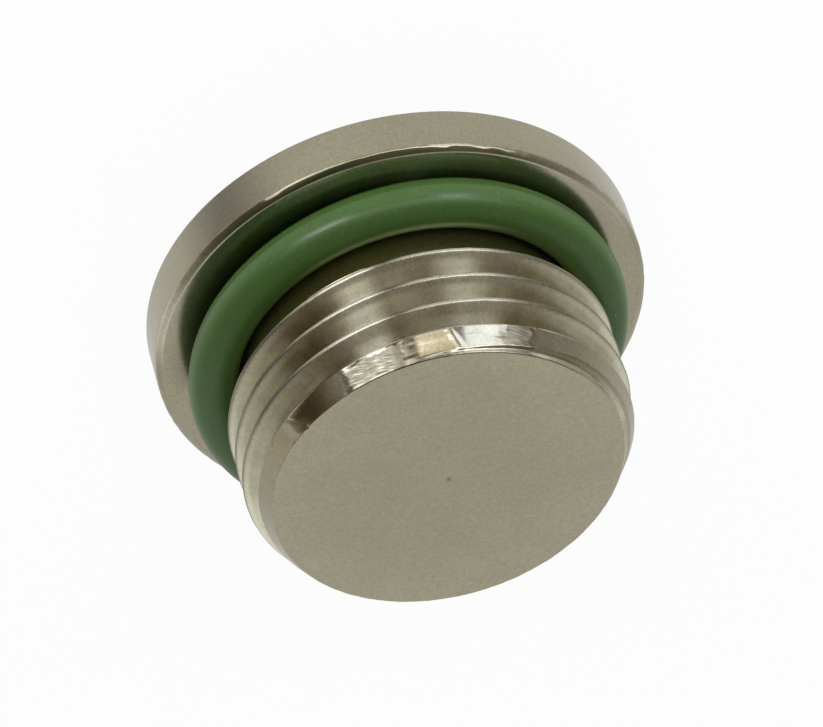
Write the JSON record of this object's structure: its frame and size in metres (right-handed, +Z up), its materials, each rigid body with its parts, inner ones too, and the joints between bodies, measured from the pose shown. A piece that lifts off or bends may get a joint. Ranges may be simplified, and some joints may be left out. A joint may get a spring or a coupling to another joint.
{
  "type": "pipe plug",
  "caption": "Round-collared pipe plug with a parallel male thread, a rubber sealing ring under the collar and a hexagon socket in its head, for closing a threaded port.",
  "frame": {"origin": "centre of the flat head face, on the surface the plug stands on", "axes": "+Z up along the plug's axis from the head face to the thread's end; -Y is the side that faces the viewer; +X completes the frame"},
  "size_m": [0.0264, 0.0264, 0.014],
  "materials": {
    "nickel_plated_brass": "bright nickel plate over turned brass",
    "green_rubber": "satin moulded fluoro rubber"
  },
  "bodies": {
    "root": {"plug_body": "nickel_plated_brass", "o_ring": "green_rubber"}
  },
  "joints": []
}
